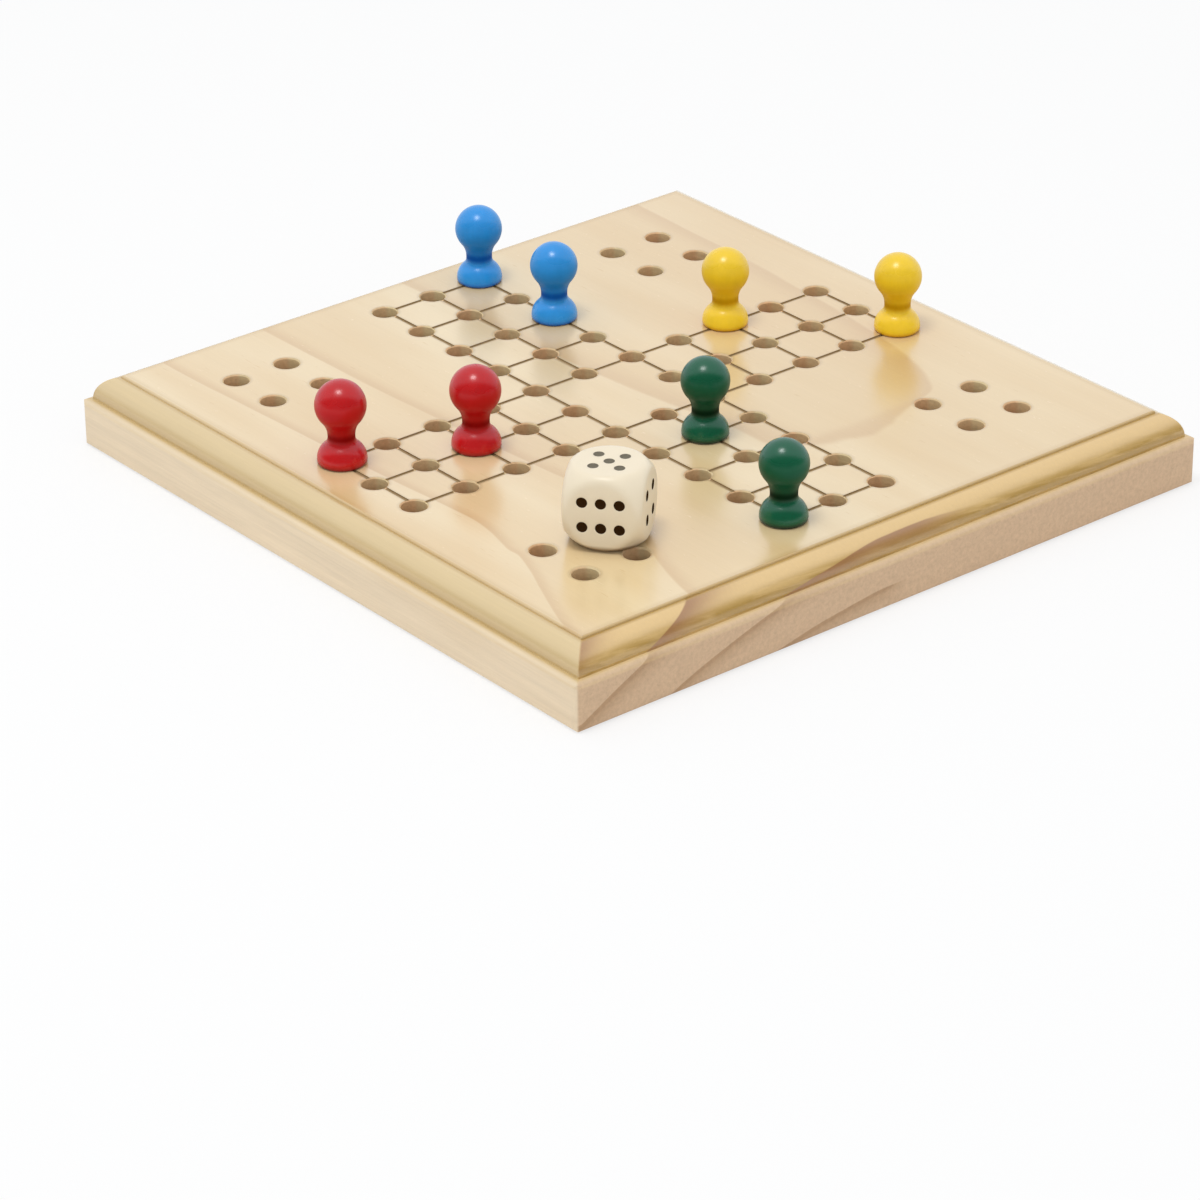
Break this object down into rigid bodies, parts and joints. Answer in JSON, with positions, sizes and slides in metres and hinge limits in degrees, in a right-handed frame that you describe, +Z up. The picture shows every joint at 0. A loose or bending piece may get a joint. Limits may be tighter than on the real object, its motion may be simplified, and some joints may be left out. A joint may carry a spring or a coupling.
{
  "type": "ludo peg board game",
  "caption": "Square solid pine ludo board with a moulded edge and peg holes, with lift-out turned pegs in four colours and a rounded die.",
  "frame": {"origin": "centre of the board's flat underside", "axes": "+Z up out of the board's top; +Y along the wood grain; the red home is at -X +Y, blue at +X +Y, yellow at +X -Y and green at -X -Y"},
  "size_m": [0.1526, 0.1526, 0.0315],
  "materials": {
    "pine": "satin",
    "die_ivory": "gloss",
    "red_paint": "gloss",
    "blue_paint": "gloss",
    "yellow_paint": "gloss",
    "green_paint": "gloss"
  },
  "bodies": {
    "board": {"board": "pine"},
    "die": {"die": "die_ivory"},
    "red_peg_outer": {"red_peg_outer": "red_paint"},
    "red_peg_inner": {"red_peg_inner": "red_paint"},
    "blue_peg_outer": {"blue_peg_outer": "blue_paint"},
    "blue_peg_inner": {"blue_peg_inner": "blue_paint"},
    "yellow_peg_outer": {"yellow_peg_outer": "yellow_paint"},
    "yellow_peg_inner": {"yellow_peg_inner": "yellow_paint"},
    "green_peg_outer": {"green_peg_outer": "green_paint"},
    "green_peg_inner": {"green_peg_inner": "green_paint"}
  },
  "joints": [
    {"name": "red_peg_outer_lift", "type": "slide", "parent": "board", "child": "red_peg_outer", "axis": [0, 0, 1], "range_m": [0, 0.03]},
    {"name": "red_peg_inner_lift", "type": "slide", "parent": "board", "child": "red_peg_inner", "axis": [0, 0, 1], "range_m": [0, 0.03]},
    {"name": "blue_peg_outer_lift", "type": "slide", "parent": "board", "child": "blue_peg_outer", "axis": [0, 0, 1], "range_m": [0, 0.03]},
    {"name": "blue_peg_inner_lift", "type": "slide", "parent": "board", "child": "blue_peg_inner", "axis": [0, 0, 1], "range_m": [0, 0.03]},
    {"name": "yellow_peg_outer_lift", "type": "slide", "parent": "board", "child": "yellow_peg_outer", "axis": [0, 0, 1], "range_m": [0, 0.03]},
    {"name": "yellow_peg_inner_lift", "type": "slide", "parent": "board", "child": "yellow_peg_inner", "axis": [0, 0, 1], "range_m": [0, 0.03]},
    {"name": "green_peg_outer_lift", "type": "slide", "parent": "board", "child": "green_peg_outer", "axis": [0, 0, 1], "range_m": [0, 0.03]},
    {"name": "green_peg_inner_lift", "type": "slide", "parent": "board", "child": "green_peg_inner", "axis": [0, 0, 1], "range_m": [0, 0.03]},
    {"name": "die_lift", "type": "slide", "parent": "board", "child": "die", "axis": [0, 0, 1], "range_m": [0, 0.03]}
  ]
}
